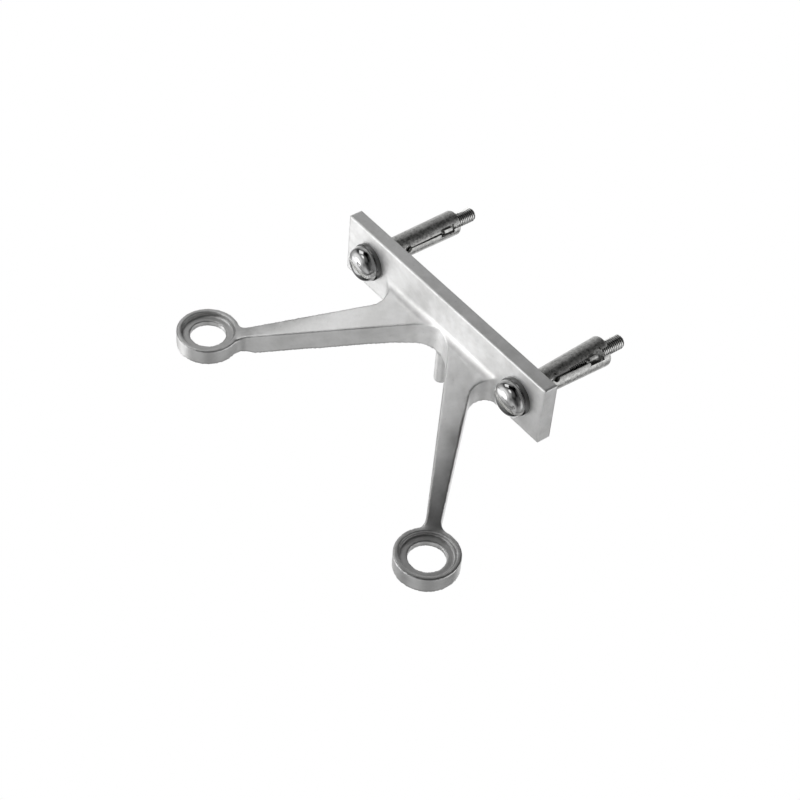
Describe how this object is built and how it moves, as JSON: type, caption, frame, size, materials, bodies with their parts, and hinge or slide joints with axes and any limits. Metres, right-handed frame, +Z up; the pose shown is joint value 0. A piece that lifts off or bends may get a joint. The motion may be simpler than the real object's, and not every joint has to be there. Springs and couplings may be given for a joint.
{
  "type": "glass spider fitting",
  "caption": "Wall plate with two arms that end in level rings for glass bolts, held by slotted dome-head expansion anchors; each screw draws a cone nut that spreads its half shells.",
  "frame": {"origin": "centre of the plate's wall face", "axes": "+X along the plate, -Y out of the wall towards the glass, +Y into the wall along the anchors, +Z up"},
  "size_m": [0.2794, 0.2102, 0.0775],
  "materials": {
    "cast_stainless": "satin, finely blasted and brushed casting",
    "polished_steel": "polished head and washer",
    "zinc_plate": "bright zinc plate over pressed steel"
  },
  "bodies": {
    "fitting": {"spider_casting": "cast_stainless", "left_washer": "polished_steel", "right_washer": "polished_steel", "left_collar": "zinc_plate", "right_collar": "zinc_plate"},
    "left_screw": {"left_screw": "polished_steel"},
    "left_nut": {"left_cone_nut": "zinc_plate"},
    "left_upper_shell": {"left_upper_shell": "zinc_plate"},
    "left_lower_shell": {"left_lower_shell": "zinc_plate"},
    "right_screw": {"right_screw": "polished_steel"},
    "right_nut": {"right_cone_nut": "zinc_plate"},
    "right_upper_shell": {"right_upper_shell": "zinc_plate"},
    "right_lower_shell": {"right_lower_shell": "zinc_plate"}
  },
  "joints": [
    {"name": "left_screw_turn", "type": "hinge", "parent": "fitting", "child": "left_screw", "pos_m": [-0.076, 0, 0], "axis": [0, 1, 0], "range_deg": [-230.4, 729.6]},
    {"name": "left_nut_travel", "type": "slide", "parent": "fitting", "child": "left_nut", "axis": [0, -1, 0], "range_m": [-0.00096, 0.00304]},
    {"name": "left_upper_spread", "type": "hinge", "parent": "fitting", "child": "left_upper_shell", "pos_m": [-0.07894, 0.0019, 0.00766], "axis": [0.9336, 0, 0.3584], "range_deg": [-0.6, 1.9]},
    {"name": "left_lower_spread", "type": "hinge", "parent": "fitting", "child": "left_lower_shell", "pos_m": [-0.07306, 0.0019, -0.00766], "axis": [-0.9336, 0, -0.3584], "range_deg": [-0.6, 1.9]},
    {"name": "right_screw_turn", "type": "hinge", "parent": "fitting", "child": "right_screw", "pos_m": [0.076, 0, 0], "axis": [0, 1, 0], "range_deg": [-844.8, 115.2]},
    {"name": "right_nut_travel", "type": "slide", "parent": "fitting", "child": "right_nut", "axis": [0, -1, 0], "range_m": [-0.00352, 0.00048]},
    {"name": "right_upper_spread", "type": "hinge", "parent": "fitting", "child": "right_upper_shell", "pos_m": [0.07051, 0.0019, 0.00609], "axis": [0.7431, 0, 0.6691], "range_deg": [-2.2, 0.3]},
    {"name": "right_lower_spread", "type": "hinge", "parent": "fitting", "child": "right_lower_shell", "pos_m": [0.08149, 0.0019, -0.00609], "axis": [-0.7431, 0, -0.6691], "range_deg": [-2.2, 0.3]}
  ],
  "couplings": [
    {"joint": "left_upper_spread", "follows": "left_screw_turn", "ratio": 0.0026041},
    {"joint": "left_lower_spread", "follows": "left_screw_turn", "ratio": 0.0026041},
    {"joint": "left_nut_travel", "follows": "left_screw_turn", "m_per_rad": 0.00023873},
    {"joint": "right_upper_spread", "follows": "right_screw_turn", "ratio": 0.0026041},
    {"joint": "right_lower_spread", "follows": "right_screw_turn", "ratio": 0.0026041},
    {"joint": "right_nut_travel", "follows": "right_screw_turn", "m_per_rad": 0.00023873}
  ]
}
